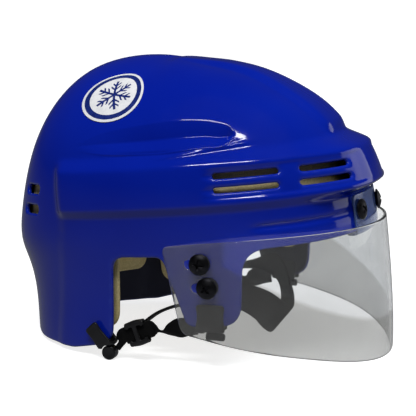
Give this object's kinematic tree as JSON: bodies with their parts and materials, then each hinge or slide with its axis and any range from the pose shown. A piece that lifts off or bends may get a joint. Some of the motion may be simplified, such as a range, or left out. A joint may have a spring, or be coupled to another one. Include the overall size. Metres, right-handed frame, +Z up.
{
  "type": "hockey helmet with clear visor",
  "caption": "Hard-shell ice hockey helmet with a clear curved visor, foam padding, side and chin straps, and a forehead bracket. The visor slides in its slots and the chin strap swings.",
  "frame": {"origin": "centre of the bounding box in X and Y, on the surface the helmet stands on", "axes": "+X towards the face, +Y to the wearer's left, +Z up as the helmet stands"},
  "size_m": [0.1899, 0.1358, 0.1409],
  "materials": {
    "shell_plastic": "glossy",
    "liner_foam": "matte closed-cell foam",
    "visor_clear": "clear polycarbonate",
    "bracket_plastic": "smoky translucent",
    "screw_black": "black satin",
    "spacer_rubber": "matte",
    "nut_steel": "zinc plated",
    "clip_plastic": "satin",
    "webbing": "woven polyester",
    "slider_plastic": "satin",
    "sticker_vinyl": "printed vinyl"
  },
  "bodies": {
    "helmet": {"shell": "shell_plastic", "liner_front": "liner_foam", "liner_crown": "liner_foam", "liner_rear": "liner_foam", "liner_side_left": "liner_foam", "liner_side_right": "liner_foam", "liner_nape_left": "liner_foam", "liner_nape_right": "liner_foam", "liner_temple_left": "liner_foam", "liner_temple_right": "liner_foam", "visor_bracket": "bracket_plastic", "visor_screw_left_upper": "screw_black", "visor_spacer_left_upper": "spacer_rubber", "visor_nut_left_upper": "nut_steel", "visor_screw_left_lower": "screw_black", "visor_spacer_left_lower": "spacer_rubber", "visor_nut_left_lower": "nut_steel", "bracket_screw_left": "screw_black", "bracket_nut_left": "nut_steel", "clip_front_left": "clip_plastic", "clip_knob_front_left": "clip_plastic", "clip_rear_left": "clip_plastic", "clip_knob_rear_left": "clip_plastic", "side_strap_left": "webbing", "decal_left": "sticker_vinyl", "visor_screw_right_upper": "screw_black", "visor_spacer_right_upper": "spacer_rubber", "visor_nut_right_upper": "nut_steel", "visor_screw_right_lower": "screw_black", "visor_spacer_right_lower": "spacer_rubber", "visor_nut_right_lower": "nut_steel", "bracket_screw_right": "screw_black", "bracket_nut_right": "nut_steel", "clip_front_right": "clip_plastic", "clip_knob_front_right": "clip_plastic", "clip_rear_right": "clip_plastic", "clip_knob_rear_right": "clip_plastic", "side_strap_right": "webbing", "decal_right": "sticker_vinyl"},
    "visor": {"visor": "visor_clear"},
    "slider_right": {"slider_right": "slider_plastic"},
    "slider_left": {"slider_left": "slider_plastic"},
    "chin_strap": {"chin_strap": "webbing"}
  },
  "joints": [
    {"name": "visor_slide", "type": "slide", "parent": "helmet", "child": "visor", "axis": [0.9949, 0, 0.1011], "range_m": [0, 0.0056]},
    {"name": "slider_right_slide", "type": "slide", "parent": "helmet", "child": "slider_right", "axis": [0.9397, 0, 0.342], "range_m": [-0.002, 0.002]},
    {"name": "slider_left_slide", "type": "slide", "parent": "helmet", "child": "slider_left", "axis": [0.9397, 0, 0.342], "range_m": [-0.002, 0.002]},
    {"name": "chin_strap_swing", "type": "hinge", "parent": "slider_right", "child": "chin_strap", "pos_m": [-0.0132, 0, 0.014], "axis": [0, 1, 0], "range_deg": [-35, 60]}
  ],
  "couplings": [
    {"joint": "slider_left_slide", "follows": "slider_right_slide", "ratio": 1}
  ]
}
